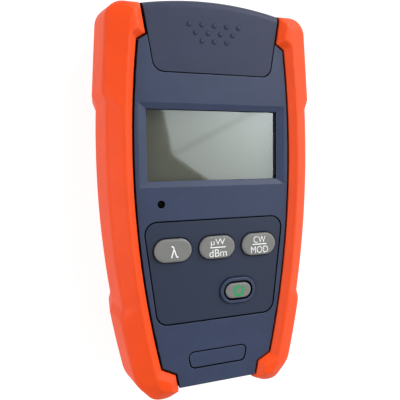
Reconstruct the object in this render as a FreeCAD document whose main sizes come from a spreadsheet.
"""Hand-held optical power meter in a bumpered two-shell case, lying on its back.

Millimetres.  +X is right and +Y the top (connector) end, both as the face is read,
and +Z points out of the face.  The origin is in the middle of the rest plane.
"""
import FreeCAD, Part
import Sketcher
import math
import os
import re

doc = FreeCAD.newDocument("optical_power_meter")
Vector = FreeCAD.Vector
Rotation = FreeCAD.Rotation
Placement = FreeCAD.Placement

# ---------------------------------------------------------------- driving sizes
SIZES = {
    # bands of the face, from the top end to the bottom end
    "lid_face": 27.35,           # dust cover, as seen from the front
    "logo_band": 11.3,
    "display_height": 31.25,     # outer edge of the sunk display frame
    "indicator_band": 12.6,
    "keypad_height": 40.3,
    "name_gap": 11.5,
    "name_height": 7.1,
    "foot_band": 6.8,
    "tail": 4.8,                 # bumpers beyond the bottom end of the case
    # plan of the case
    "display_width": 60.0,
    "face_margin": 2.05,         # display frame to the middle of the bumper gap
    "side_radius": 370.0,        # the long sides are shallow arcs
    "apex_drop": 58.4,           # top end to the widest place
    "bumper_gap": 0.7,
    "lid_low_half": 24.1,        # half width of the cover at its lower edge
    "lid_flare_deg": 9.4,
    "lid_arch_sag": 2.8,
    "lid_corner": 4.3,
    "shoulder_above_lid": 13.05,
    "shoulder_step": 2.2,
    "heel_half": 16.55,          # half width of the bottom end
    "heel_rise": 5.7,
    "heel_flare": 0.95,
    "heel_step": 2.95,
    # walls and the stack of layers, from the back to the face
    "wall": 2.2,
    "door_wall": 2.6,
    "cell_lift": 0.5,            # door to cells
    "cell_diameter": 14.2,
    "cell_length": 49.2,
    "ceiling_gap": 0.3,
    "ceiling_wall": 1.2,
    "parting_rise": 1.1,         # bay ceiling to the joint of the shells
    "board_room": 3.1,
    "board_wall": 1.6,
    "key_room": 10.2,            # board to the inside of the face
    # bumpers: distances out from the middle of the gap, and heights off the face
    "crest_out": 2.8,
    "crest_flat": 0.4,
    "crest_rise": 2.2,
    "brow_out": 10.9,
    "brow_drop": 1.3,
    "ridge_out": 13.0,
    "land_out": 7.6,
    "land_rise": 3.2,
    "top_flare": 1.0,
    "corner_width": 4.0,         # chamfer at the top corner of the ridge
    "corner_height": 4.4,
    "heel_width": 7.0,           # chamfer at the low corner of the ridge
    "heel_height": 7.6,
    "heel_foot": 5.0,
    "heel_slope": 0.42,
    "corner_round": 7.0,
    "heel_round": 11.0,
    "foot_round": 6.0,
    "brow_share": 0.93,          # the ridge's chamfers as carried to the other levels
    "land_share": 0.74,
    "rim_share": 0.37,
    "ridge_top_in": 1.4,         # each level's ends in from the ends of the bumper
    "brow_top_in": 3.1,
    "land_top_in": 4.5,
    "rim_top_in": 6.9,
    "brow_low_in": 0.8,
    "land_low_in": 3.6,
    "rim_low_in": 5.1,
    # shallow relief along the grip: where it starts and is full, from each end
    "relief": 1.6,
    "ridge_top_start": 34.2,
    "ridge_top_full": 38.2,
    "ridge_low_full": 32.8,
    "ridge_low_start": 28.4,
    "brow_top_start": 35.2,
    "brow_top_full": 38.8,
    "brow_low_full": 33.0,
    "brow_low_start": 29.3,
    "land_top_start": 40.0,
    "land_top_full": 42.0,
    "land_low_full": 35.0,
    "land_low_start": 34.0,
    "rim_top_start": 43.6,
    "rim_top_full": 44.6,
    "rim_low_full": 35.8,
    "rim_low_start": 34.8,
    "brow_round": 3.0,
    "ridge_round": 6.0,
    "land_round": 1.6,
    "gap_depth": 2.5,
    "back_gap_depth": 1.2,
    "seat_gap": 0.05,
    "tongue_depth": 1.0,
    "tongue_height": 1.6,
    "tongue_gap": 0.1,
    # dust cover and its hinge
    "lid_wall": 2.2,
    "lid_gap": 0.3,
    "lid_inset": 0.65,           # edge of the cover from the middle of the gap
    "lid_round": 3.5,
    "port_room": 12.0,           # end wall to the inside of the cover
    "barrel_radius": 2.6,
    "barrel_half": 12.0,
    "barrel_inset": 0.55,        # hinge barrel in from the middle of the arched end
    "barrel_lift": 0.6,          # rest plane to the barrel
    "ear_width": 4.3,
    "ear_foot": 2.0,
    "pin_diameter": 2.0,
    "pin_gap": 0.05,
    "nub_diameter": 1.6,
    "nub_height": 0.35,
    "nub_pitch": 5.0,
    "nub_row_pitch": 2.95,
    "nub_drop": 9.6,
    # face details
    "face_edge_round": 0.35,
    "back_edge_round": 0.6,
    "frame_slope_x": 3.1,
    "frame_slope_y": 2.25,
    "frame_depth": 1.0,
    "line_width": 0.6,
    "line_depth": 0.4,
    "panel_depth": 0.12,
    "keypad_margin": 1.5,
    "keypad_corner": 5.0,
    "name_half": 13.0,
    "name_low_half": 11.6,
    "name_corner": 2.4,
    "indicator_diameter": 3.0,
    "indicator_x": 22.0,
    "indicator_drop": 6.35,
    "indicator_sink": 1.1,
    # keys
    "key_width": 14.7,
    "key_height": 8.95,
    "key_spacing": 3.25,
    "key_drop": 11.3,
    "key_proud": 1.3,
    "key_gap": 0.25,
    "key_flange": 1.2,
    "key_flange_wall": 1.2,
    "key_stop_gap": 0.1,
    "key_round": 0.9,
    "key_travel": 0.6,
    "power_width": 11.0,
    "power_height": 6.2,
    "power_x": 8.7,
    "power_drop": 29.3,
    "power_gap": 0.8,
    "power_flange": 1.8,
    "ring_width": 1.25,
    "ring_rise": 0.9,
    "stem_diameter": 4.0,
    "switch_size": 6.0,
    "switch_height": 3.4,
    "plunger_diameter": 3.2,
    "plunger_rise": 1.6,
    "plunger_sink": 1.2,
    "plunger_gap": 0.05,
    # display stack
    "window_overlap": 1.6,
    "window_wall": 1.5,
    "tape_wall": 0.2,
    "window_air": 0.7,
    "lcd_wall": 2.2,
    "lcd_inset": 1.4,
    "lcd_end_inset": 0.14,
    "holder_wall": 1.2,
    "holder_gap": 0.2,
    "holder_lip": 0.5,
    "backlight_wall": 2.6,
    "backlight_inset": 3.2,
    "zebra_width": 1.8,
    # battery bay and door
    "cell_pitch": 14.5,
    "bay_side_gap": 0.3,
    "bay_wall": 1.2,
    "bay_end_room": 3.4,
    "heel_wall": 2.4,
    "door_half": 14.4,
    "door_length": 60.0,
    "door_gap": 0.15,
    "tongue_reach": 0.8,
    "runner_height": 0.9,
    "runner_lift": 0.85,
    "rail_width": 3.0,
    "rail_height": 3.4,
    "door_travel": 12.0,
    "grip_pitch": 2.2,
    "grip_depth": 0.5,
    "contact_wall": 0.4,
    "contact_half": 4.5,
    "contact_tail_half": 1.5,
    "contact_gap": 0.05,
    "nub_length": 1.0,
    "cell_nub_diameter": 5.5,
    # connector end
    "port_diameter": 8.0,
    "port_length": 7.4,
    "port_bore": 3.2,
    "sleeve_wall": 0.35,
    "flange_size": 14.0,
    "flange_wall": 1.8,
    "panel_half": 11.5,
    "panel_wall": 1.2,
    "panel_flange": 1.5,
    "bay_half": 21.6,
    "detector_diameter": 8.2,
    "detector_length": 4.6,
    "lead_diameter": 0.5,
    "lead_pitch": 2.54,
    "lead_inset": 1.5,           # leads in from the upper edge of the board
    # fasteners
    "case_screw_diameter": 2.5,
    "case_head_diameter": 5.0,
    "case_head_height": 1.8,
    "case_screw_length": 16.0,
    "case_screw_sink": 9.0,
    "hole_gap": 0.2,
    "screw_room": 0.5,           # hole beyond a screw's end
    "post_wall": 1.8,
    "case_screw_top_half": 24.0,
    "case_screw_low_half": 19.4,
    "case_screw_inset": 4.9,     # upper case screws below the cover
    "case_screw_heel": 17.5,     # lower case screws above the bottom end
    "board_screw_diameter": 2.0,
    "board_head_diameter": 3.8,
    "board_head_height": 1.4,
    "board_screw_length": 6.0,
    "board_screw_half": 12.0,
    "port_screw_diameter": 2.0,
    "port_head_diameter": 3.6,
    "port_head_height": 1.2,
    "port_screw_half": 5.0,
    "board_gap": 1.2,
    "chip_size": 12.0,
    "chip_wall": 1.4,
}

# Places worked out from the sizes above, in the same words.
PLACES = {
    "top_y": "(lid_face + logo_band + display_height + indicator_band + keypad_height"
             " + name_gap + name_height + foot_band + tail) / 2",
    "lid_low_y": "top_y - lid_face",
    "display_top_y": "lid_low_y - logo_band",
    "display_y": "display_top_y - display_height / 2",
    "display_low_y": "display_top_y - display_height",
    "keypad_top_y": "display_low_y - indicator_band",
    "keypad_low_y": "keypad_top_y - keypad_height",
    "name_top_y": "keypad_low_y - name_gap",
    "name_low_y": "name_top_y - name_height",
    "low_y": "name_low_y - foot_band",
    "apex_y": "top_y - apex_drop",
    "waist": "display_width / 2 + face_margin",
    "shoulder_y": "lid_low_y + shoulder_above_lid",
    "cell_z": "door_wall + cell_lift + cell_diameter / 2",
    "ceiling_low_z": "cell_z + cell_diameter / 2 + ceiling_gap",
    "ceiling_z": "ceiling_low_z + ceiling_wall",
    "parting_z": "ceiling_z + parting_rise",
    "board_z": "ceiling_z + board_room",
    "board_top_z": "board_z + board_wall",
    "under_face_z": "board_top_z + key_room",
    "face_z": "under_face_z + wall",
    "shelf_z": "face_z - lid_wall - lid_gap",
    "bay_y": "top_y - lid_wall - port_room",
    "cheek_y": "top_y - lid_wall - lid_arch_sag - 2 * lid_gap",
    "pin_y": "top_y - barrel_inset - barrel_radius",
    "pin_z": "barrel_lift + barrel_radius",
    "pin_half": "barrel_half + lid_gap + ear_width",
    "lid_low_z": "pin_z + barrel_radius + lid_gap",
    "rim_out": "crest_out + crest_flat",
    "land_relief": "0.4 * relief",
    "brow_relief": "relief",
    "ridge_relief": "relief",
    "rim_relief": "0 * relief",
    "ridge_share": "1",
    "ridge_low_in": "0",
    "port_z": "face_z / 2",
    "key_y": "keypad_top_y - key_drop",
    "key_pitch": "key_width + key_spacing",
    "power_y": "keypad_top_y - power_drop",
    "indicator_y": "display_low_y - indicator_drop",
    "plunger_z": "board_top_z + switch_height + plunger_rise",
    "opening_half_x": "display_width / 2 - frame_slope_x",
    "opening_half_y": "display_height / 2 - frame_slope_y",
    "window_top_z": "under_face_z - tape_wall",
    "lcd_top_z": "window_top_z - window_wall - window_air",
    "lcd_z": "lcd_top_z - lcd_wall",
    "window_half_x": "opening_half_x + window_overlap",
    "window_half_y": "opening_half_y + window_overlap",
    "lcd_half_x": "window_half_x - lcd_inset",
    "lcd_half_y": "window_half_y - lcd_end_inset",
    "bay_low_y": "low_y + heel_wall + door_gap",
    "bay_top_y": "bay_low_y + cell_length + nub_length + 2 * contact_wall + bay_end_room",
    "bay_inner_half": "cell_pitch / 2 + cell_diameter / 2 + bay_side_gap",
    "case_screw_top_y": "lid_low_y - case_screw_inset",
    "case_screw_low_y": "low_y + case_screw_heel",
    "board_screw_top_y": "case_screw_top_y",
    "board_screw_low_y": "low_y + case_screw_heel",
}

sheet = doc.addObject("Spreadsheet::Sheet", "Sizes")
for row, (alias, size) in enumerate(SIZES.items(), start=1):
    sheet.set(f"A{row}", alias)
    sheet.set(f"B{row}", str(size))
    sheet.setAlias(f"B{row}", alias)
doc.recompute()


def bound(text):
    """The words of a formula as references to the sheet's cells."""
    def reference(match):
        word = match.group()
        if word in PLACES:
            return "(" + bound(PLACES[word]) + ")"
        return "Sizes." + word if word in SIZES else word
    return re.sub(r"[a-z_][a-z_0-9]*", reference, text)


def value(text):
    """The present value of a formula, in millimetres or degrees."""
    return float(sheet.evalExpression(bound(text)))


SPAN = value("waist + 2 * ridge_out")   # half width of a cutter wider than the part
OVERRUN = value("wall / 2")             # cutters run this far past the faces they cut
LAP = value("seat_gap / 5")             # cutters that meet share this much


# ---------------------------------------------------------------- bound pieces
def bind(item, **formulas):
    """Tie properties to formulas; a double underscore stands for a dot."""
    for name, text in formulas.items():
        item.setExpression(name.replace("__", "."), bound(text))
    return item


def place(item, x="0", y="0", z="0"):
    for axis, text in zip("xyz", (x, y, z)):
        item.setExpression(f"Placement.Base.{axis}", bound(text))
    return item


def named(item, label):
    item.Label = label
    return item


def box(name, half_x, half_y, height, x="0", y="0", z="0"):
    """A box centred on x and y that stands on z."""
    item = doc.addObject("Part::Box", name)
    bind(item, Length=f"2 * ({half_x})", Width=f"2 * ({half_y})", Height=height)
    return place(item, f"({x}) - ({half_x})", f"({y}) - ({half_y})", z)


def rod(name, radius, length, x="0", y="0", z="0", axis="z"):
    """A cylinder that starts at its place and runs along an axis."""
    item = doc.addObject("Part::Cylinder", name)
    bind(item, Radius=radius, Height=length)
    turn = {"x": Rotation(Vector(0, 1, 0), 90), "y": Rotation(Vector(1, 0, 0), -90),
            "z": Rotation()}[axis]
    item.Placement = Placement(Vector(), turn)
    return place(item, x, y, z)


def fused(label, *items):
    item = doc.addObject("Part::MultiFuse", label)
    item.Shapes = list(items)
    item.Refine = True
    return named(item, label)


def cut(label, base, *tools):
    for count, tool in enumerate(tools, start=1):
        item = doc.addObject("Part::Cut", f"{label}_cut_{count}")
        item.Base = base
        item.Tool = tool
        base = item
    return named(base, label)


def group(label, items):
    """Separate solids of one kind under one name."""
    item = doc.addObject("Part::Compound", label)
    item.Links = items
    return named(item, label)


def origin_plane(body, role):
    return next(item for item in body.Origin.OriginFeatures if item.Role == role)


def new_body(label, x, y, z):
    body = doc.addObject("PartDesign::Body", label)
    return place(named(body, label), x, y, z)


def new_sketch(body, name, height="0"):
    """A sketch on the body's own XY plane, lifted to a height."""
    sketch = body.newObject("Sketcher::SketchObject", name)
    sketch.AttachmentSupport = (origin_plane(body, "XY_Plane"), [""])
    sketch.MapMode = "FlatFace"
    sketch.setExpression("AttachmentOffset.Base.z", bound(height))
    return sketch


def obround(sketch, width, height):
    """A slot outline centred on the origin, lying along X."""
    half = (value(width) - value(height)) / 2
    radius = value(height) / 2
    top = sketch.addGeometry(Part.LineSegment(Vector(-half, radius, 0), Vector(half, radius, 0)))
    low = sketch.addGeometry(Part.LineSegment(Vector(half, -radius, 0), Vector(-half, -radius, 0)))
    quarter = math.pi / 2
    right_circle = Part.Circle(Vector(half, 0, 0), Vector(0, 0, 1), radius)
    left_circle = Part.Circle(Vector(-half, 0, 0), Vector(0, 0, 1), radius)
    right = sketch.addGeometry(Part.ArcOfCircle(right_circle, -quarter, quarter))
    left = sketch.addGeometry(Part.ArcOfCircle(left_circle, quarter, 3 * quarter))
    joins = ((top, 2, right, 2), (right, 1, low, 1), (low, 2, left, 2), (left, 1, top, 1))
    for join in joins:
        sketch.addConstraint(Sketcher.Constraint("Tangent", *join))
    sketch.addConstraint(Sketcher.Constraint("Horizontal", top))
    sketch.addConstraint(Sketcher.Constraint("Symmetric", left, 3, right, 3, -1, 1))
    size = sketch.addConstraint(Sketcher.Constraint("Radius", right, radius))
    sketch.setExpression(f"Constraints[{size}]", bound(f"({height}) / 2"))
    span = sketch.addConstraint(Sketcher.Constraint("DistanceX", left, 3, right, 3, 2 * half))
    sketch.setExpression(f"Constraints[{span}]", bound(f"({width}) - ({height})"))
    return sketch


def disc(sketch, diameter):
    circle = Part.Circle(Vector(), Vector(0, 0, 1), value(diameter) / 2)
    ring = sketch.addGeometry(circle)
    sketch.addConstraint(Sketcher.Constraint("Coincident", ring, 3, -1, 1))
    size = sketch.addConstraint(Sketcher.Constraint("Diameter", ring, value(diameter)))
    sketch.setExpression(f"Constraints[{size}]", bound(diameter))
    return sketch


def pad(body, sketch, length):
    item = body.newObject("PartDesign::Pad", sketch.Name + "_pad")
    item.Profile = sketch
    item.setExpression("Length", bound(length))
    sketch.Visibility = False
    return item


def solid_piece(label, shape):
    """A piece whose shape is worked out below from the sheet."""
    item = doc.addObject("Part::Feature", label)
    item.Shape = shape
    item.Placement = Placement()
    return named(item, label)


# ---------------------------------------------------------------- plan outlines
def side_x(y):
    """Half width to the middle of the bumper gap on the long sides."""
    sag = (y - value("apex_y")) ** 2 / (2 * value("side_radius"))
    return value("waist") - sag


def lid_x(y):
    """Half width to the middle of the gap beside the dust cover."""
    return value("lid_low_half") + (y - value("lid_low_y")) * math.tan(
        math.radians(value("lid_flare_deg")))


def unit(vector):
    return vector * (1 / vector.Length)


def offset_points(points, distance):
    """Corners of an open path moved to its right by a distance, mitred."""
    moved = []
    for index, point in enumerate(points):
        before = points[max(index - 1, 0)]
        after = points[min(index + 1, len(points) - 1)]
        way_in = unit(point - before) if index else unit(after - point)
        way_out = unit(after - point) if index < len(points) - 1 else way_in
        normal_in = Vector(way_in.y, -way_in.x, 0)
        normal_out = Vector(way_out.y, -way_out.x, 0)
        bisector = unit(normal_in + normal_out)
        moved.append(point + bisector * (distance / bisector.dot(normal_in)))
    return moved


def slid_to(y, point, neighbour):
    """An end point moved along its own line to a given height on the face."""
    return point + (neighbour - point) * ((y - point.y) / (neighbour.y - point.y))


def gap_path(distance, low_end, top_end):
    """Right side of the case from the bottom end to the top end.

    Returns the corners and the middle of the arc, moved out by a distance.
    """
    low = value("low_y")
    heel_y = low + value("heel_rise")
    hip_y = heel_y + value("heel_step")
    shoulder = value("shoulder_y")
    arc_top_y = shoulder - value("shoulder_step")
    heel = value("heel_half")
    slope = value("heel_flare") / value("heel_rise")
    step = value("bumper_gap")  # two short ends carry the arc's tangents
    corners = [
        Vector(heel + slope * (low_end - low), low_end, 0),
        Vector(heel + value("heel_flare"), heel_y, 0),
        Vector(side_x(hip_y), hip_y, 0),
        Vector(side_x(hip_y + step), hip_y + step, 0),
        Vector(side_x(arc_top_y - step), arc_top_y - step, 0),
        Vector(side_x(arc_top_y), arc_top_y, 0),
        Vector(lid_x(shoulder), shoulder, 0),
        Vector(lid_x(top_end), top_end, 0),
    ]
    moved = offset_points(corners, distance)
    moved[0] = slid_to(low_end, moved[0], moved[1])
    moved[-1] = slid_to(top_end, moved[-1], moved[-2])
    middle_y = (hip_y + arc_top_y) / 2
    middle = Vector(side_x(middle_y) + distance, middle_y, 0)
    return moved[:3], middle, moved[5:]


def lifted(points, height):
    return [Vector(p.x, p.y, height) for p in points]


def mirrored(points):
    return [Vector(-p.x, p.y, p.z) for p in points]


def plan_wire(distance, height, low_end=None, top_end=None, one_side=False):
    """Closed plan outline of the case at a height, moved out by a distance."""
    low_end = value("low_y") - distance if low_end is None else low_end
    top_end = value("cheek_y") if top_end is None else top_end
    low_points, middle, top_points = gap_path(distance, low_end, top_end)
    low_points = lifted(low_points, height)
    top_points = lifted(top_points, height)
    middle = lifted([middle], height)[0]
    edges = [Part.makeLine(a, b) for a, b in zip(low_points, low_points[1:])]
    edges.append(Part.Arc(low_points[-1], middle, top_points[0]).toShape())
    edges += [Part.makeLine(a, b) for a, b in zip(top_points, top_points[1:])]
    if one_side:
        inner = -value("wall")
        corners = [top_points[-1], Vector(inner, top_points[-1].y, height),
                   Vector(inner, low_points[0].y, height), low_points[0]]
        edges += [Part.makeLine(a, b) for a, b in zip(corners, corners[1:])]
        return Part.Wire(edges)
    low_left = mirrored(low_points)
    top_left = mirrored(top_points)
    edges.append(Part.makeLine(top_points[-1], top_left[-1]))
    edges += [Part.makeLine(a, b) for a, b in zip(top_left[::-1], top_left[-2::-1])]
    edges.append(Part.Arc(top_left[0], mirrored([middle])[0], low_left[-1]).toShape())
    edges += [Part.makeLine(a, b) for a, b in zip(low_left[::-1], low_left[-2::-1])]
    edges.append(Part.makeLine(low_left[0], low_points[0]))
    return Part.Wire(edges)


def prism(wire, height):
    return Part.Face(wire).extrude(Vector(0, 0, height))


def block(x_min, x_max, y_min, y_max, z_min, z_max):
    return Part.makeBox(x_max - x_min, y_max - y_min, z_max - z_min,
                        Vector(x_min, y_min, z_min))


def post(x, y, z_min, z_max, radius):
    return Part.makeCylinder(radius, z_max - z_min, Vector(x, y, z_min))


def polygon(points, height):
    corners = [Vector(x, y, height) for x, y in points]
    return Part.makePolygon(corners + corners[:1])


def upright(edge):
    return abs(edge.tangentAt(edge.FirstParameter).z) > 0.99


def rounded(wire, radius):
    """A closed wire of straight edges with its corners rounded."""
    flat = Part.Face(wire).extrude(Vector(0, 0, OVERRUN))
    solid = flat.makeFillet(radius, [edge for edge in flat.Edges if upright(edge)])
    height = wire.BoundBox.ZMin
    face = next(face for face in solid.Faces if face.BoundBox.ZMax < height + LAP)
    return face.OuterWire


def obround_face(width, height, x, y, z):
    half = (width - height) / 2
    radius = height / 2
    corners = [Vector(x - half, y - radius, z), Vector(x + half, y - radius, z),
               Vector(x + half, y + radius, z), Vector(x - half, y + radius, z)]
    right = Part.Arc(corners[1], Vector(x + half + radius, y, z), corners[2]).toShape()
    left = Part.Arc(corners[3], Vector(x - half - radius, y, z), corners[0]).toShape()
    top = Part.makeLine(corners[2], corners[3])
    low = Part.makeLine(corners[0], corners[1])
    return Part.Face(Part.Wire([low, right, top, left]))


def engraved(wire):
    """The groove under a line drawn on the face, and the field inside it."""
    depth = value("line_depth")
    outside = Part.Face(wire)
    inside = outside.makeOffset2D(-value("line_width"), join=0)
    groove = outside.cut(inside).extrude(Vector(0, 0, -depth))
    field = inside.extrude(Vector(0, 0, -value("panel_depth")))
    return groove, field


# ---------------------------------------------------------------- face features
def keypad_wire():
    margin = value("keypad_margin") + value("bumper_gap") / 2
    top = value("keypad_top_y")
    low = value("keypad_low_y")
    half_top = side_x(top) - margin
    half_low = side_x(low) - margin
    points = [(-half_low, low), (half_low, low), (half_top, top), (-half_top, top)]
    return rounded(polygon(points, value("face_z")), value("keypad_corner"))


def name_wire():
    half = value("name_half")
    low_half = value("name_low_half")
    low = value("name_low_y")
    top = value("name_top_y")
    points = [(-low_half, low), (low_half, low), (half, top), (-half, top)]
    return rounded(polygon(points, value("face_z")), value("name_corner"))


def key_centres():
    pitch = value("key_pitch")
    return [(index * pitch, value("key_y")) for index in (-1, 0, 1)]


def display_opening():
    """The frame's sloping sides, and the opening through the wall."""
    face_z = value("face_z")
    rise = value("frame_depth")
    y = value("display_y")
    half_x = value("opening_half_x")
    half_y = value("opening_half_y")
    slope_x = value("frame_slope_x")
    slope_y = value("frame_slope_y")
    wires = []
    for share in (0, 2):  # the slope is drawn on past the face
        reach_x = half_x + share * slope_x
        reach_y = half_y + share * slope_y
        corners = [(-reach_x, y - reach_y), (reach_x, y - reach_y),
                   (reach_x, y + reach_y), (-reach_x, y + reach_y)]
        wires.append(polygon(corners, face_z - rise + share * rise))
    slope = Part.makeLoft(wires, True, True)
    opening = block(-half_x, half_x, y - half_y, y + half_y,
                    value("under_face_z") - OVERRUN, face_z)
    return slope.fuse(opening)


def lid_wire(distance, height, low_gap=0.0, top_gap=0.0):
    """Front outline of the dust cover; its top edge is a shallow arch."""
    low = value("lid_low_y") + low_gap
    top = value("top_y") - top_gap
    shoulder = top - value("lid_arch_sag")
    slant = 1 / math.cos(math.radians(value("lid_flare_deg")))
    low_x = lid_x(low) + distance * slant
    top_x = lid_x(shoulder) + distance * slant
    points = [Vector(-top_x, shoulder, height), Vector(-low_x, low, height),
              Vector(low_x, low, height), Vector(top_x, shoulder, height)]
    edges = [Part.makeLine(a, b) for a, b in zip(points, points[1:])]
    edges.append(Part.Arc(points[3], Vector(0, top, height), points[0]).toShape())
    return Part.Wire(edges)


def lid_blank(distance, low_z, high_z, low_gap=0.0, top_gap=0.0):
    solid = prism(lid_wire(distance, low_z, low_gap, top_gap), high_z - low_z)
    low = value("lid_low_y") + low_gap
    corners = [edge for edge in solid.Edges if upright(edge) and edge.BoundBox.YMax < low + LAP]
    return solid.makeFillet(value("lid_corner"), corners)


def inside_lid(low_z, high_z):
    """Everything on the near side of the cover's end plate; the arches share a centre."""
    sag = value("lid_arch_sag")
    half = lid_x(value("top_y") - sag)
    radius = (half ** 2 + sag ** 2) / (2 * sag)
    centre = Vector(0, value("top_y") - radius, low_z)
    return Part.makeCylinder(radius - value("lid_wall"), high_z - low_z, centre)


def tongue_ring(extra):
    """The band round the parting that the bumpers' tongues fill."""
    half = value("tongue_height") / 2 + extra
    low_z = value("parting_z") - half
    outer = OVERRUN - value("bumper_gap") / 2
    inner = -value("bumper_gap") / 2 - value("tongue_depth") - extra
    far_low = value("low_y") - OVERRUN
    far_top = value("top_y") + OVERRUN
    ring = prism(plan_wire(outer, low_z, far_low, far_top), 2 * half)
    return ring.cut(prism(plan_wire(inner, low_z, far_low - OVERRUN, far_top + OVERRUN), 2 * half))


def screw_places():
    top_x = value("case_screw_top_half")
    low_x = value("case_screw_low_half")
    top = value("case_screw_top_y")
    low = value("case_screw_low_y")
    return [(-top_x, top), (top_x, top), (-low_x, low), (low_x, low)]


def board_screw_places():
    half = value("board_screw_half")
    top = value("board_screw_top_y")
    low = value("board_screw_low_y")
    return [(-half, top), (half, top), (-half, low), (half, low)]


# ---------------------------------------------------------------- shells
def case_blank(low_z, high_z):
    wire = plan_wire(-value("bumper_gap") / 2, low_z, value("low_y"))
    return prism(wire, high_z - low_z)


def cavity(low_z, high_z, top_y):
    """Room inside the walls up to an end wall."""
    inset = -value("bumper_gap") / 2 - value("wall")
    low = value("low_y") + value("heel_wall")
    room = prism(plan_wire(inset, low_z, low), high_z - low_z)
    return room.common(block(-SPAN, SPAN, low, top_y, low_z, high_z))


def front_case():
    face_z = value("face_z")
    under = value("under_face_z")
    parting = value("parting_z")
    wall = value("wall")
    gap = value("lid_gap")
    shelf = value("shelf_z")
    bay_y = value("bay_y")
    lid_low = value("lid_low_y")
    shell = case_blank(parting, face_z)
    rim = [edge for edge in shell.Edges if edge.BoundBox.ZMin > face_z - LAP
           and edge.BoundBox.YMax < value("cheek_y") - LAP]
    shell = shell.makeFillet(value("face_edge_round"), rim)
    # room for the cover's front plate, then the connector bay
    room_edge = gap + value("seat_gap") - value("lid_inset")
    shell = shell.cut(lid_blank(room_edge, shelf, face_z + OVERRUN, -gap, -2 * wall))
    bay_half = value("bay_half")
    shell = shell.cut(block(-bay_half, bay_half, bay_y, value("top_y"),
                            parting - OVERRUN, face_z + OVERRUN))
    # inside
    shell = shell.cut(cavity(parting - OVERRUN, under, lid_low - wall - gap))
    shell = shell.cut(cavity(parting - OVERRUN, shelf - wall, bay_y - wall))
    # posts for the case screws and the board screws
    case_bore = value("case_screw_diameter") / 2
    board_bore = value("board_screw_diameter") / 2
    root = under + wall / 4
    for x, y in screw_places():
        shell = shell.fuse(post(x, y, parting, root, case_bore + value("post_wall")))
    for x, y in board_screw_places():
        shell = shell.fuse(post(x, y, value("board_top_z"), root,
                                board_bore + value("post_wall")))
    shell = shell.common(case_blank(parting, face_z))
    screw_end = value("case_screw_sink + case_head_height + case_screw_length + screw_room")
    for x, y in screw_places():
        shell = shell.cut(post(x, y, parting - OVERRUN, screw_end, case_bore))
    board_end = value("board_z + board_screw_length + screw_room")
    for x, y in board_screw_places():
        shell = shell.cut(post(x, y, parting, board_end, board_bore))
    # display, keypad, name frame
    shell = shell.cut(display_opening())
    for wire in (keypad_wire(), name_wire()):
        groove, field = engraved(wire)
        shell = shell.cut(groove).cut(field)
    # raised ring round the power key, rounded on top
    ring_x = value("power_x")
    ring_y = value("power_y")
    hole_width = value("power_width + 2 * power_gap")
    hole_height = value("power_height + 2 * power_gap")
    ring_width = value("ring_width")
    ring = obround_face(hole_width + 2 * ring_width, hole_height + 2 * ring_width,
                        ring_x, ring_y, under)
    ring = ring.extrude(Vector(0, 0, face_z + value("ring_rise") - under))
    ring_top = [edge for edge in ring.Edges if edge.BoundBox.ZMin > face_z]
    shell = shell.fuse(ring.makeFillet(0.45 * ring_width, ring_top))
    through = Vector(0, 0, 3 * wall + value("ring_rise"))
    power_hole = obround_face(hole_width, hole_height, ring_x, ring_y, under - OVERRUN)
    shell = shell.cut(power_hole.extrude(through))
    for x, y in key_centres():
        hole = obround_face(value("key_width + 2 * key_gap"),
                            value("key_height + 2 * key_gap"), x, y, under - OVERRUN)
        shell = shell.cut(hole.extrude(through))
    shell = shell.cut(post(-value("indicator_x"), value("indicator_y"), under - OVERRUN,
                           face_z + OVERRUN, value("indicator_diameter") / 2))
    shell = shell.cut(tongue_ring(value("tongue_gap")))
    shell = shell.cut(port_opening(value("hole_gap") / 2))
    return shell.removeSplitter()


def port_opening(extra):
    """The hole that the connector panel fills, in both halves of the end wall."""
    half = value("panel_half") + extra
    bay_y = value("bay_y")
    port_z = value("port_z")
    return block(-half, half, bay_y - value("wall") - OVERRUN, bay_y + OVERRUN,
                 port_z - half, port_z + half)


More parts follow.
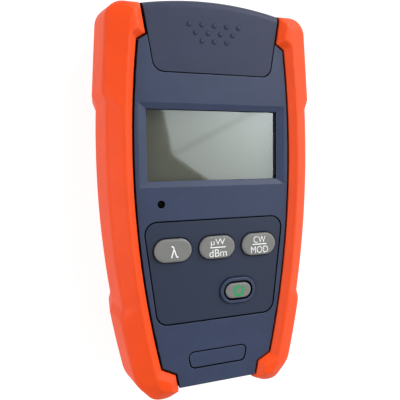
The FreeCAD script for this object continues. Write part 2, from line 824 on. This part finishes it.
def rear_case():
    parting = value("parting_z")
    wall = value("wall")
    bay_y = value("bay_y")
    low = value("low_y")
    ceiling = value("ceiling_z")
    door_wall = value("door_wall")
    door_gap = value("door_gap")
    shell = case_blank(0, parting)
    rim = [edge for edge in shell.Edges if edge.BoundBox.ZMax < LAP
           and edge.BoundBox.YMin < value("cheek_y") - LAP]
    shell = shell.makeFillet(value("back_edge_round"), rim)
    shell = shell.cut(cavity(wall, parting + OVERRUN, bay_y - wall))
    # connector bay: open to the end and to the front, closed by the cover
    bay_half = value("bay_half")
    shell = shell.cut(block(-bay_half, bay_half, bay_y, value("top_y"), wall, parting + OVERRUN))
    # battery bay: side walls, end wall and ceiling
    inner = value("bay_inner_half")
    outer = inner + value("bay_wall")
    bay_low = value("bay_low_y")
    bay_top = value("bay_top_y")
    bay = block(-outer, outer, low + wall / 2, bay_top + value("bay_wall"), wall / 2, ceiling)
    rail_outer = value("door_half + tongue_reach + rail_width")
    door_top = low + value("door_length")
    rails = block(-rail_outer, rail_outer, low + wall / 2, door_top + value("rail_width"),
                  wall / 2, value("rail_height"))
    shell = shell.fuse(bay.fuse(rails).common(case_blank(0, parting)))
    shell = shell.cut(block(-inner, inner, bay_low, bay_top, -OVERRUN, value("ceiling_low_z")))
    # the door's opening runs out through the bottom end, with a groove each side
    door_half = value("door_half") + door_gap
    shell = shell.cut(block(-door_half, door_half, low - OVERRUN, door_top + door_gap,
                            -OVERRUN, door_wall + door_gap))
    reach = door_half + value("tongue_reach")
    runner_low = value("runner_lift") - door_gap
    runner_top = value("runner_lift + runner_height") + door_gap
    shell = shell.cut(block(-reach, reach, low - OVERRUN, door_top + door_gap,
                            runner_low, runner_top))
    # slots for the contact tails in the bay ceiling
    for x, y in contact_tail_places():
        tail = value("contact_tail_half") + door_gap
        slot = value("contact_wall") / 2 + door_gap
        shell = shell.cut(block(x - tail, x + tail, y - slot, y + slot,
                                value("ceiling_low_z") - OVERRUN, ceiling + OVERRUN))
    # posts for the case screws
    bore = value("case_screw_diameter") / 2 + value("hole_gap")
    head = value("case_head_diameter") / 2 + value("hole_gap")
    seat = value("case_screw_sink") + value("case_head_height")
    for x, y in screw_places():
        shell = shell.fuse(post(x, y, wall / 2, parting, head + value("post_wall") / 2))
    shell = shell.common(case_blank(0, parting))
    for x, y in screw_places():
        shell = shell.cut(post(x, y, -OVERRUN, parting + OVERRUN, bore))
        shell = shell.cut(post(x, y, -OVERRUN, seat, head))
    # floor on under the cover as far as the hinge, and the ears that carry the pin
    floor = prism(lid_wire(-value("lid_inset"), 0), wall)
    shell = shell.fuse(floor.common(block(-SPAN, SPAN, bay_y, value("pin_y"), 0, wall)))
    pocket = value("barrel_half + lid_gap")
    shell = shell.cut(block(-pocket, pocket, value("pin_y - barrel_radius - lid_gap"),
                            value("top_y"), -OVERRUN, wall + OVERRUN))
    shell = shell.fuse(hinge_ears())
    shell = shell.cut(tongue_ring(value("tongue_gap")))
    shell = shell.cut(port_opening(value("hole_gap") / 2))
    return shell.removeSplitter()


def contact_tail_places():
    """Where the two battery contacts pass up to the board."""
    half = value("cell_pitch") / 2
    y = value("bay_low_y + contact_wall / 2")
    return [(-half, y), (half, y)]


def hinge_ears():
    """Two round-ended ears beside the cover's barrel, bored for the pin."""
    radius = value("barrel_radius")
    pin_y = value("pin_y")
    pin_z = value("pin_z")
    start = value("barrel_half + lid_gap")
    end = value("pin_half")
    ears = []
    for side_start in (start, -end):
        ear = Part.makeCylinder(radius, end - start, Vector(side_start, pin_y, pin_z),
                                Vector(1, 0, 0))
        foot = block(side_start, side_start + end - start, pin_y - radius - value("ear_foot"),
                     pin_y, value("wall") / 2, pin_z)
        ears.append(ear.fuse(foot))
    ears = ears[0].fuse(ears[1])
    bore = Part.makeCylinder(value("pin_diameter") / 2, 4 * end,
                             Vector(-2 * end, pin_y, pin_z), Vector(1, 0, 0))
    return ears.cut(bore)


def dust_cover():
    face_z = value("face_z")
    wall = value("lid_wall")
    distance = -value("lid_inset")
    radius = value("barrel_radius")
    pin_y = value("pin_y")
    pin_z = value("pin_z")
    low_z = value("lid_low_z")
    shell = lid_blank(distance, low_z, face_z)
    top_edge = [edge for edge in shell.Edges
                if edge.BoundBox.ZMin > face_z - LAP
                and edge.BoundBox.YMin > value("top_y - 2 * lid_arch_sag")]
    shell = shell.makeFillet(value("lid_round"), top_edge)
    shell = shell.cut(inside_lid(low_z - OVERRUN, face_z - wall))
    # the hinge barrel, and the web that joins it to the end plate
    half = value("barrel_half")
    barrel = Part.makeCylinder(radius, 2 * half, Vector(-half, pin_y, pin_z), Vector(1, 0, 0))
    web = prism(lid_wire(distance, pin_z), low_z - pin_z + OVERRUN)
    web = web.common(block(-half, half, pin_y, value("top_y"), pin_z, low_z + OVERRUN))
    web = web.cut(inside_lid(pin_z - OVERRUN, low_z + 2 * OVERRUN))
    shell = shell.fuse(barrel.fuse(web))
    bore = Part.makeCylinder(value("pin_diameter / 2 + pin_gap"), 4 * half,
                             Vector(-2 * half, pin_y, pin_z), Vector(1, 0, 0))
    shell = shell.cut(bore)
    # grip nubs: three rows that narrow towards the lower edge
    nub = value("nub_diameter") / 2
    height = value("nub_height")
    ball = (nub ** 2 + height ** 2) / (2 * height)
    for row, count in enumerate((5, 4, 3)):
        y = value("top_y - nub_drop") - row * value("nub_row_pitch")
        for index in range(count):
            x = (index - (count - 1) / 2) * value("nub_pitch")
            dome = Part.makeSphere(ball, Vector(x, y, face_z + height - ball))
            shell = shell.fuse(dome.common(block(x - nub, x + nub, y - nub, y + nub,
                                                 face_z - wall / 2, face_z + height)))
    return shell.removeSplitter()


# ---------------------------------------------------------------- bumpers
def stands_at(edge, corner):
    away = edge.Vertexes[0].Point - corner
    return upright(edge) and abs(away.x) + abs(away.y) < LAP


def eased(wire, corners):
    """A closed wire rounded at the corners given, each with its own radius."""
    height = wire.BoundBox.ZMin
    solid = Part.Face(wire).extrude(Vector(0, 0, OVERRUN))
    for corner, radius in corners:
        solid = solid.makeFillet(radius, [edge for edge in solid.Edges if stands_at(edge, corner)])
    face = next(face for face in solid.Faces if face.BoundBox.ZMax < height + LAP)
    return face.OuterWire


def bumper_wire(level, height):
    """Outer outline of the right bumper at one level, closed inside the case."""
    def own(word):
        return value(f"{level}_{word}")

    out = own("out")
    share = own("share")
    relief = own("relief")
    top_y = value("top_y")
    low_y = value("low_y")
    top = top_y - own("top_in")
    low = low_y - value("tail") + own("low_in")
    flare = share * value("top_flare")
    inside = value("heel_half") / 2
    corner_low = top - share * value("corner_height")
    corner_x = side_x(corner_low) + out + flare
    heel_top = low + share * value("heel_height")
    heel_x = side_x(heel_top) + out
    foot_x = heel_x - share * value("heel_width")
    foot_end = foot_x - value("heel_foot")
    top_full = top_y - own("top_full")
    low_full = low_y + own("low_full")
    low_start = low_y + own("low_start")

    def at(y, distance):
        return Vector(side_x(y) + distance, y, height)

    head = [Vector(inside, top, height),
            Vector(corner_x - share * value("corner_width"), top, height),
            Vector(corner_x, corner_low, height), at(top_y - own("top_start"), out),
            at(top_full, out - relief)]
    waist = [at(low_full, out - relief), at(low_start, out)]
    heel = [Vector(heel_x, heel_top, height), Vector(foot_x, low, height),
            Vector(foot_end, low, height),
            Vector(inside, low + value("heel_slope") * (foot_end - inside), height)]
    edges = [Part.makeLine(a, b) for a, b in zip(head, head[1:])]
    middle = at((top_full + low_full) / 2, out - relief)
    edges.append(Part.Arc(head[-1], middle, waist[0]).toShape())
    edges.append(Part.makeLine(*waist))
    middle = at((low_start + heel_top) / 2, out)
    edges.append(Part.Arc(waist[1], middle, heel[0]).toShape())
    edges += [Part.makeLine(a, b) for a, b in zip(heel, heel[1:])]
    edges.append(Part.makeLine(heel[-1], head[0]))
    rounds = {"corner_round": head[1:3], "heel_round": heel[:1], "foot_round": heel[1:3]}
    return eased(Part.Wire(edges), [(corner, share * value(size))
                                    for size, corners in rounds.items() for corner in corners])


def softened(solid, height, radius):
    """The outer edges that lie at one height, rounded."""
    edges = [edge for edge in solid.Edges
             if all(abs(corner.Z - height) < LAP for corner in edge.Vertexes)
             and edge.BoundBox.XMax > value("heel_half") + OVERRUN]
    return solid.makeFillet(radius, edges)


def right_bumper():
    face_z = value("face_z")
    parting = value("parting_z")
    gap = value("bumper_gap") / 2
    seat = value("seat_gap") - gap
    rise = value("crest_rise")
    brow_z = face_z - value("brow_drop")
    land_z = value("land_rise")
    levels = (("land", 0), ("brow", land_z), ("ridge", parting), ("brow", brow_z),
              ("rim", face_z + rise))
    body = Part.makeLoft([bumper_wire(*level) for level in levels], True, True)
    low = value("low_y - ridge_out")
    top = value("top_y + ridge_out")

    def room(distance, low_z, high_z):
        return prism(plan_wire(distance, low_z, low, top, True), high_z - low_z)

    # seat on the case: the tongue at its parting, and a gap along the face and the back
    half = value("tongue_height") / 2
    groove_z = face_z - value("gap_depth")
    tongue_end = value("cheek_y - lid_gap")
    body = body.cut(room(seat, -OVERRUN, parting - half))
    body = body.cut(room(seat - value("tongue_depth"), parting - half - LAP, parting + half + LAP))
    body = body.cut(room(seat, parting + half, groove_z))
    beside_lid = room(seat, parting - 2 * half, parting + 2 * half)
    body = body.cut(beside_lid.common(block(-SPAN, SPAN, tongue_end, top, 0, face_z)))
    body = body.cut(room(gap, groove_z - LAP, face_z + LAP))
    body = body.cut(room(gap, -OVERRUN, value("back_gap_depth")))
    # slope from the gap up to the crest, drawn on past it
    crest = value("crest_out")
    wires = [plan_wire(gap, face_z, low, top, True),
             plan_wire(2 * crest - gap, face_z + 2 * rise, low, top, True)]
    body = body.cut(Part.makeLoft(wires, True, True))
    body = max(body.Solids, key=lambda solid: solid.Volume)
    body = softened(body, brow_z, value("brow_round"))
    body = softened(body, parting, value("ridge_round"))
    return softened(body, land_z, value("land_round"))


# ---------------------------------------------------------------- board
def main_board():
    low_z = value("board_z")
    wall = value("board_wall")
    inset = -value("bumper_gap") / 2 - value("wall") - value("board_gap")
    low = value("bay_low_y")
    top = value("lid_low_y")
    board = prism(plan_wire(inset, low_z, low), wall)
    board = board.common(block(-SPAN, SPAN, low, top, low_z, low_z + wall))
    holes = [(place_xy, value("case_screw_diameter / 2 + post_wall + lid_gap"))
             for place_xy in screw_places()]
    holes += [(place_xy, value("board_screw_diameter / 2 + hole_gap"))
              for place_xy in board_screw_places()]
    for (x, y), radius in holes:
        board = board.cut(post(x, y, low_z - OVERRUN, low_z + wall + OVERRUN, radius))
    return max(board.Solids, key=lambda solid: solid.Volume)


RIGHT_BUMPER = solid_piece("right_bumper", right_bumper())
LEFT_BUMPER = doc.addObject("Part::Mirroring", "left_bumper")
LEFT_BUMPER.Source = RIGHT_BUMPER
LEFT_BUMPER.Normal = Vector(1, 0, 0)
PIECES = [
    solid_piece("front_case", front_case()),
    solid_piece("rear_case", rear_case()),
    solid_piece("dust_cover", dust_cover()),
    solid_piece("main_board", main_board()),
    RIGHT_BUMPER,
    named(LEFT_BUMPER, "left_bumper"),
]


# ---------------------------------------------------------------- keys and switches
def key(label, x, y, width, height, flange):
    """A key cap: a flange under the face, the cap through it and a stem to the switch."""
    body = new_body(label, x, y, "0")
    flange_z = "under_face_z - key_stop_gap - key_flange_wall"
    plate = obround(new_sketch(body, label + "_flange", flange_z),
                    f"({width}) + 2 * ({flange})", f"({height}) + 2 * ({flange})")
    pad(body, plate, "key_flange_wall")
    stem = disc(new_sketch(body, label + "_stem", "plunger_z"), "stem_diameter")
    pad(body, stem, f"({flange_z}) + key_flange_wall / 2 - plunger_z")
    cap = obround(new_sketch(body, label + "_cap", flange_z), width, height)
    top = pad(body, cap, f"face_z + key_proud - ({flange_z})")
    doc.recompute()
    edges = [f"Edge{index}" for index, edge in enumerate(top.Shape.Edges, start=1)
             if edge.BoundBox.ZMin > value("face_z + key_proud") - LAP]
    rounding = body.newObject("PartDesign::Fillet", label + "_rounding")
    rounding.Base = (top, edges)
    rounding.setExpression("Radius", bound("key_round"))
    body.Tip = rounding
    return body


def switch(name, x, y):
    """A board switch and the plunger that its key presses."""
    size = "switch_size / 2"
    base = box(name + "_base", size, size, "switch_height", x, y, "board_top_z")
    well_depth = "plunger_sink + key_travel + 2 * plunger_gap"
    well = rod(name + "_well", "plunger_diameter / 2 + plunger_gap", f"{well_depth} + 1", x, y,
               f"board_top_z + switch_height - ({well_depth})")
    plunger = rod(name + "_plunger", "plunger_diameter / 2", "plunger_rise + plunger_sink", x, y,
                  "plunger_z - plunger_rise - plunger_sink")
    return [cut(name + "_switch", base, well), named(plunger, name + "_plunger")]


KEYS = (
    ("wavelength", "-key_pitch", "key_y", "key_width", "key_height", "key_flange"),
    ("units", "0", "key_y", "key_width", "key_height", "key_flange"),
    ("mode", "key_pitch", "key_y", "key_width", "key_height", "key_flange"),
    ("power", "power_x", "power_y", "power_width", "power_height", "power_flange"),
)
for word, x, y, width, height, flange in KEYS:
    PIECES.append(key(word + "_key", x, y, width, height, flange))
    PIECES += switch(word, x, y)

# ---------------------------------------------------------------- display stack
AT_DISPLAY = {"x": "0", "y": "display_y"}
PIECES.append(cut(
    "window_tape",
    box("tape_sheet", "window_half_x", "window_half_y", "tape_wall", z="window_top_z", **AT_DISPLAY),
    box("tape_hole", "opening_half_x", "opening_half_y", "tape_wall", z="window_top_z", **AT_DISPLAY)))
PIECES.append(named(box("display_window", "window_half_x", "window_half_y", "window_wall",
                        z="window_top_z - window_wall", **AT_DISPLAY), "display_window"))
PIECES.append(named(box("lcd_panel", "lcd_half_x", "lcd_half_y", "lcd_wall",
                        z="lcd_z", **AT_DISPLAY), "lcd_panel"))
PIECES.append(cut(
    "lcd_holder",
    box("holder_block", "lcd_half_x + holder_gap + holder_wall",
        "lcd_half_y + holder_gap + holder_wall", "lcd_top_z + holder_lip - board_top_z",
        z="board_top_z", **AT_DISPLAY),
    box("holder_room", "lcd_half_x + holder_gap", "lcd_half_y + holder_gap",
        "lcd_top_z - board_top_z", z="board_top_z", **AT_DISPLAY),
    box("holder_window", "opening_half_x", "opening_half_y", "wall",
        z="lcd_top_z - wall / 2", **AT_DISPLAY)))
PIECES.append(named(box("backlight_panel", "lcd_half_x - backlight_inset",
                        "lcd_half_y - backlight_inset", "backlight_wall",
                        z="lcd_z - backlight_wall", **AT_DISPLAY), "backlight_panel"))
for word, sign in (("upper", ""), ("lower", "-")):
    name = f"zebra_strip_{word}"
    PIECES.append(named(box(name, "lcd_half_x - backlight_inset", "zebra_width / 2",
                            "lcd_z - board_top_z",
                            y=f"display_y + {sign}(lcd_half_y - zebra_width / 2)",
                            z="board_top_z"), name))

# ---------------------------------------------------------------- indicator
PIPE_RADIUS = "indicator_diameter / 2 - plunger_gap"
PIECES.append(fused(
    "indicator_light_pipe",
    rod("pipe_shaft", PIPE_RADIUS, "face_z - indicator_sink - board_top_z - 2 * chip_wall",
        "-indicator_x", "indicator_y", "board_top_z + 2 * chip_wall"),
    rod("pipe_collar", "indicator_diameter", "wall / 2",
        "-indicator_x", "indicator_y", "under_face_z - wall / 2")))
PIECES.append(named(box("indicator_led", "chip_wall", "chip_wall / 2", "chip_wall",
                        "-indicator_x", "indicator_y", "board_top_z"), "indicator_led"))
PIECES.append(named(box("microcontroller", "chip_size / 2", "chip_size / 2", "chip_wall",
                        "-key_pitch", "power_y", "board_top_z"), "microcontroller"))

# ---------------------------------------------------------------- power
CELL_START = "(bay_low_y + 2 * contact_wall + bay_end_room / 2)"
CELL_END = f"({CELL_START} + cell_length + nub_length)"
for word, x, can_y, tip_y in (
        ("left", "-cell_pitch / 2", f"{CELL_START} + nub_length", CELL_START),
        ("right", "cell_pitch / 2", CELL_START, f"{CELL_START} + cell_length")):
    can = rod(word + "_can", "cell_diameter / 2", "cell_length", x, can_y, "cell_z", "y")
    tip = rod(word + "_tip", "cell_nub_diameter / 2", "nub_length", x, tip_y, "cell_z", "y")
    PIECES.append(fused(word + "_cell", can, tip))


def leaf(name, x, wall_y, cell_y, inward):
    """A plate on the bay's end wall with a bent leaf that presses on a cell."""
    reach = f"({inward} * ({cell_y} - {wall_y}) - contact_gap)"
    plate = box(name + "_plate", "contact_half", "contact_wall / 2", "2 * contact_half", x,
                f"{wall_y} + {inward} * contact_wall / 2", "cell_z - contact_half")
    shelf = box(name + "_shelf", "contact_half / 2", f"{reach} / 2", "contact_wall", x,
                f"{wall_y} + {inward} * {reach} / 2", "cell_z + contact_half - contact_wall")
    finger = box(name + "_finger", "contact_half / 2", "contact_wall / 2", "1.5 * contact_half", x,
                 f"{wall_y} + {inward} * ({reach} - contact_wall / 2)", "cell_z - contact_half / 2")
    return [plate, shelf, finger]


for label, x in (("positive_contact", "-cell_pitch / 2"), ("negative_contact", "cell_pitch / 2")):
    tail = box(label + "_tail", "contact_tail_half", "contact_wall / 2", "board_z - cell_z", x,
               "bay_low_y + contact_wall / 2", "cell_z")
    PIECES.append(fused(label, tail, *leaf(label, x, "bay_low_y", CELL_START, "1")))
BRIDGE = box("bridge", "cell_pitch / 2", "contact_wall / 2", "contact_half", "0",
             "bay_top_y - contact_wall / 2", "cell_z - contact_half / 2")
PIECES.append(fused("cell_link", BRIDGE,
                    *leaf("link_left", "-cell_pitch / 2", "bay_top_y", CELL_END, "-1"),
                    *leaf("link_right", "cell_pitch / 2", "bay_top_y", CELL_END, "-1")))

DOOR_Y = "(low_y + door_length / 2)"
DOOR_PLATE = fused("door_plate",
                   box("door_slab", "door_half", "door_length / 2", "door_wall", y=DOOR_Y),
                   box("door_runners", "door_half + tongue_reach", "door_length / 2",
                       "runner_height", y=DOOR_Y, z="runner_lift"))
GRIPS = [box(f"grip_{index}", "door_half / 2", "grip_pitch / 4", "2 * grip_depth",
             y=f"low_y + door_length / 6 + {index} * grip_pitch", z="-grip_depth")
         for index in range(5)]
PIECES.append(cut("battery_door", DOOR_PLATE, *GRIPS))

# ---------------------------------------------------------------- connector end
PIECES.append(named(rod("cover_hinge_pin", "pin_diameter / 2", "2 * pin_half",
                        "-pin_half", "pin_y", "pin_z", "x"), "cover_hinge_pin"))
PANEL = fused("panel_blank",
              box("panel_face", "panel_half", "wall / 2", "2 * panel_half", "0",
                  "bay_y - wall / 2", "port_z - panel_half"),
              box("panel_back", "panel_half + panel_flange", "panel_wall / 2",
                  "2 * (panel_half + panel_flange)", "0",
                  "bay_y - wall - panel_wall / 2", "port_z - panel_half - panel_flange"))
PORT_SCREWS = (("-port_screw_half", "port_z + port_screw_half"),
               ("port_screw_half", "port_z - port_screw_half"))
PANEL_HOLES = [rod(f"panel_hole_{index}", "port_screw_diameter / 2", "2 * (wall + panel_wall)",
                   x, "bay_y - 2 * wall - panel_wall", z, "y")
               for index, (x, z) in enumerate(PORT_SCREWS)]
PANEL_BORE = rod("panel_bore", "port_bore", "4 * wall", "0", "bay_y - 3 * wall", "port_z", "y")
PIECES.append(cut("port_panel", PANEL, PANEL_BORE, *PANEL_HOLES))
PORT = fused("port_blank",
             box("port_flange", "flange_size / 2", "flange_wall / 2", "flange_size", "0",
                 "bay_y + flange_wall / 2", "port_z - flange_size / 2"),
             rod("port_barrel", "port_diameter / 2", "port_length + flange_wall", "0",
                 "bay_y", "port_z", "y"))
PORT_HOLES = [rod(f"port_hole_{index}", "port_screw_diameter / 2 + hole_gap / 2",
                  "3 * flange_wall", x, "bay_y - flange_wall", z, "y")
              for index, (x, z) in enumerate(PORT_SCREWS)]
PORT_BORE = rod("port_bore", "port_bore / 2", "2 * (port_length + flange_wall)", "0",
                "bay_y - flange_wall", "port_z", "y")
KEYWAY = box("keyway", "port_bore / 3", "port_length / 2", "port_diameter / 2", "0",
             "bay_y + flange_wall + port_length", "port_z + port_diameter / 2 - sleeve_wall")
PIECES.append(cut("optical_port", PORT, PORT_BORE, KEYWAY, *PORT_HOLES))
PIECES.append(cut(
    "alignment_sleeve",
    rod("sleeve_outside", "port_bore / 2", "port_length + flange_wall", "0", "bay_y", "port_z", "y"),
    rod("sleeve_bore", "port_bore / 2 - sleeve_wall", "port_length + 3 * flange_wall", "0",
        "bay_y - flange_wall", "port_z", "y")))
CAN_Y = "(bay_y - wall - panel_wall - detector_length)"
LEAD_Y = "(lid_low_y - lead_inset)"
LEADS = []
for index, x in enumerate(("-lead_pitch", "0", "lead_pitch")):
    radius = "lead_diameter / 2"
    LEADS.append(rod(f"lead_{index}", radius, f"{CAN_Y} + detector_length / 2 - {LEAD_Y}",
                     x, LEAD_Y, "port_z", "y"))
    LEADS.append(rod(f"riser_{index}", radius, "board_z - port_z", x, LEAD_Y, "port_z"))
    knee = doc.addObject("Part::Sphere", f"knee_{index}")
    bind(knee, Radius=radius)
    LEADS.append(place(knee, x, LEAD_Y, "port_z"))
PIECES.append(fused("detector",
                    rod("detector_can", "detector_diameter / 2", "detector_length", "0",
                        CAN_Y, "port_z", "y"), *LEADS))


# ---------------------------------------------------------------- fasteners
def screw(name, head, shank, x, y, z, axis, head_start, shank_start):
    """A head and its shank; the starts are along the screw's own axis."""
    starts = {"z": ((x, y, head_start), (x, y, shank_start)),
              "y": ((x, head_start, z), (x, shank_start, z))}[axis]
    head_rod = rod(name + "_head", *head, *starts[0], axis)
    shank_rod = rod(name + "_shank", *shank, *starts[1], axis)
    return fused(name, head_rod, shank_rod)


CASE_PLACES = [(f"{sign}case_screw_{end}_half", f"case_screw_{end}_y")
               for end in ("top", "low") for sign in ("-", "")]
PIECES.append(group("case_screws", [
    screw(f"case_screw_{index}", ("case_head_diameter / 2", "case_head_height"),
          ("case_screw_diameter / 2", "case_screw_length"), x, y, "0", "z",
          "case_screw_sink", "case_screw_sink + case_head_height")
    for index, (x, y) in enumerate(CASE_PLACES)]))
BOARD_PLACES = [(f"{sign}board_screw_half", f"board_screw_{end}_y")
                for end in ("top", "low") for sign in ("-", "")]
PIECES.append(group("board_screws", [
    screw(f"board_screw_{index}", ("board_head_diameter / 2", "board_head_height"),
          ("board_screw_diameter / 2", "board_screw_length"), x, y, "0", "z",
          "board_z - board_head_height", "board_z")
    for index, (x, y) in enumerate(BOARD_PLACES)]))
PIECES.append(group("port_screws", [
    screw(f"port_screw_{index}", ("port_head_diameter / 2", "port_head_height"),
          ("port_screw_diameter / 2", "wall + panel_wall + flange_wall"), x, "0", z, "y",
          "bay_y + flange_wall", "bay_y - wall - panel_wall")
    for index, (x, z) in enumerate(PORT_SCREWS)]))

# ---------------------------------------------------------------- report and export
doc.recompute()
for item in doc.Objects:
    if {"Invalid", "Error"} & set(item.State):
        raise RuntimeError(f"{item.Label} failed: {item.State}")
os.makedirs("parts", exist_ok=True)
for item in PIECES:
    shape = item.Shape
    if shape.isNull() or not shape.isValid():
        raise RuntimeError(f"{item.Label} has no valid shape")
    shape.exportStep(f"parts/{item.Label}.step")
    print(f"{item.Label}: {len(shape.Solids)} solid, {shape.Volume:.0f} mm3")
